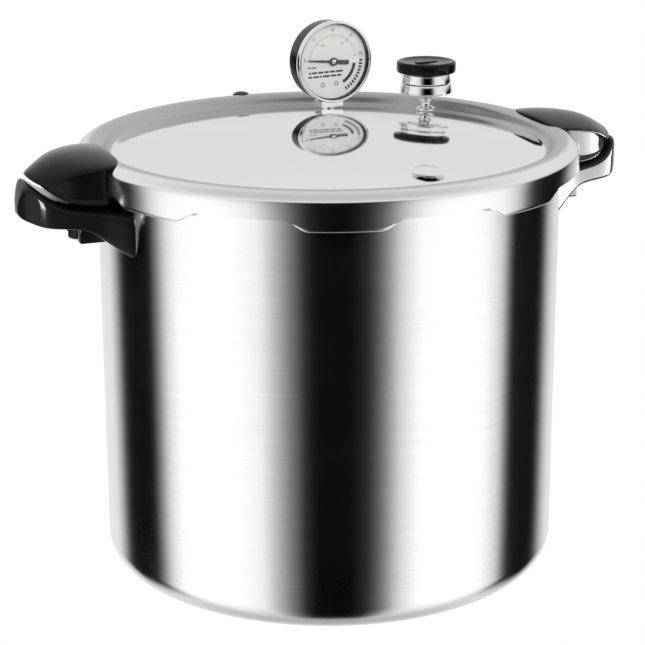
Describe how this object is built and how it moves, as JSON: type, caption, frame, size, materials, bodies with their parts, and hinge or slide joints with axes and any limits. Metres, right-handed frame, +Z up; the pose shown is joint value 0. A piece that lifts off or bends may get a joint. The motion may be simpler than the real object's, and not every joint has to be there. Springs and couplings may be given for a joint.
{
  "type": "pressure canner",
  "caption": "Tall stovetop pressure canner with a turn-to-lock domed cover, dial gauge, weighted regulator and two pairs of black handles.",
  "frame": {"origin": "middle of the pot's flat bottom, which stands on the stove", "axes": "+Z up along the pot's axis, +X through the right-hand handles, -Y towards the dial's reader"},
  "size_m": [0.4368, 0.342, 0.3595],
  "materials": {
    "brushed_aluminium": "fine circular brushing, satin sheen",
    "polished_aluminium": "mirror polish on the disc and skirt, satin on the raised ring",
    "black_phenolic": "moulded, glossy, soft edges",
    "black_rubber": "moulded, matt",
    "chrome_plate": "bright plate over turned brass",
    "zinc_steel": "dull zinc plate",
    "red_fibre": "pressed fibre",
    "brass_movement": "stamped and cut, clean",
    "black_enamel": "semi-gloss enamel, faint orange peel",
    "dial_white": "printed scale on satin white",
    "pointer_grey": "satin dark grey",
    "clear_lens": "clear, polished"
  },
  "bodies": {
    "pot": {"pot_shell": "brushed_aluminium", "body_bracket_left": "zinc_steel", "body_handle_left": "black_phenolic", "body_handle_screw_left": "zinc_steel", "body_handle_washer_left": "zinc_steel", "body_bracket_right": "zinc_steel", "body_handle_right": "black_phenolic", "body_handle_screw_right": "zinc_steel", "body_handle_washer_right": "zinc_steel", "rivet_left_front": "brushed_aluminium", "rivet_left_rear": "brushed_aluminium", "rivet_right_front": "brushed_aluminium", "rivet_right_rear": "brushed_aluminium"},
    "rack": {"canning_rack": "brushed_aluminium"},
    "seal": {"sealing_ring": "black_rubber"},
    "cover": {"cover_shell": "polished_aluminium", "cover_bracket_left": "zinc_steel", "cover_handle_left": "black_phenolic", "cover_handle_screw_left": "zinc_steel", "cover_handle_washer_left": "zinc_steel", "cover_bracket_right": "zinc_steel", "cover_handle_right": "black_phenolic", "cover_handle_screw_right": "zinc_steel", "cover_handle_washer_right": "zinc_steel", "vent_pipe": "chrome_plate", "vent_washer": "red_fibre", "vent_nut": "zinc_steel", "lock_bush": "zinc_steel", "lock_gasket": "black_rubber", "gauge_case": "black_enamel", "gauge_bezel": "chrome_plate", "gauge_lens": "clear_lens", "gauge_dial": "dial_white", "gauge_stem": "chrome_plate", "gauge_washer": "red_fibre", "gauge_nut": "zinc_steel", "movement_plate_rear": "brass_movement", "movement_plate_front": "brass_movement", "movement_post_a": "brass_movement", "movement_post_b": "brass_movement", "bourdon_tube": "brass_movement"},
    "regulator": {"regulator_core": "chrome_plate", "regulator_ring_lower": "chrome_plate", "regulator_ring_upper": "chrome_plate", "regulator_cap": "black_phenolic"},
    "lock": {"lock_pin": "brushed_aluminium"},
    "plug": {"overpressure_plug": "black_rubber"},
    "pointer": {"gauge_pointer": "pointer_grey", "pinion_arbor": "brass_movement"},
    "sector": {"sector_gear": "brass_movement"}
  },
  "joints": [
    {"name": "lid_lift", "type": "slide", "parent": "pot", "child": "seal", "axis": [0, 0, 1], "range_m": [0, 0.35]},
    {"name": "cover_turn", "type": "hinge", "parent": "seal", "child": "cover", "pos_m": [0, 0, 0.28], "axis": [0, 0, 1], "range_deg": [0, 22.5]},
    {"name": "regulator_lift", "type": "slide", "parent": "cover", "child": "regulator", "axis": [0, 0, 1], "range_m": [0, 0.04]},
    {"name": "lock_rise", "type": "slide", "parent": "cover", "child": "lock", "axis": [0, 0, 1], "range_m": [0, 0.003]},
    {"name": "plug_pop", "type": "slide", "parent": "cover", "child": "plug", "axis": [0, 0, 1], "range_m": [0, 0.02]},
    {"name": "sector_turn", "type": "hinge", "parent": "cover", "child": "sector", "pos_m": [0.05341, 0.1131, 0.31955], "axis": [-0.1305, 0.9914, 0], "range_deg": [-37.5, 0], "stiffness_Nm_per_rad": 0.007},
    {"name": "pointer_turn", "type": "hinge", "parent": "cover", "child": "pointer", "pos_m": [0.04359, 0.1118, 0.32945], "axis": [-0.1305, 0.9914, 0], "range_deg": [0, 225]},
    {"name": "rack_lift", "type": "slide", "parent": "pot", "child": "rack", "axis": [0, 0, 1], "range_m": [0, 0.2]}
  ],
  "couplings": [
    {"joint": "pointer_turn", "follows": "sector_turn", "ratio": -6}
  ]
}
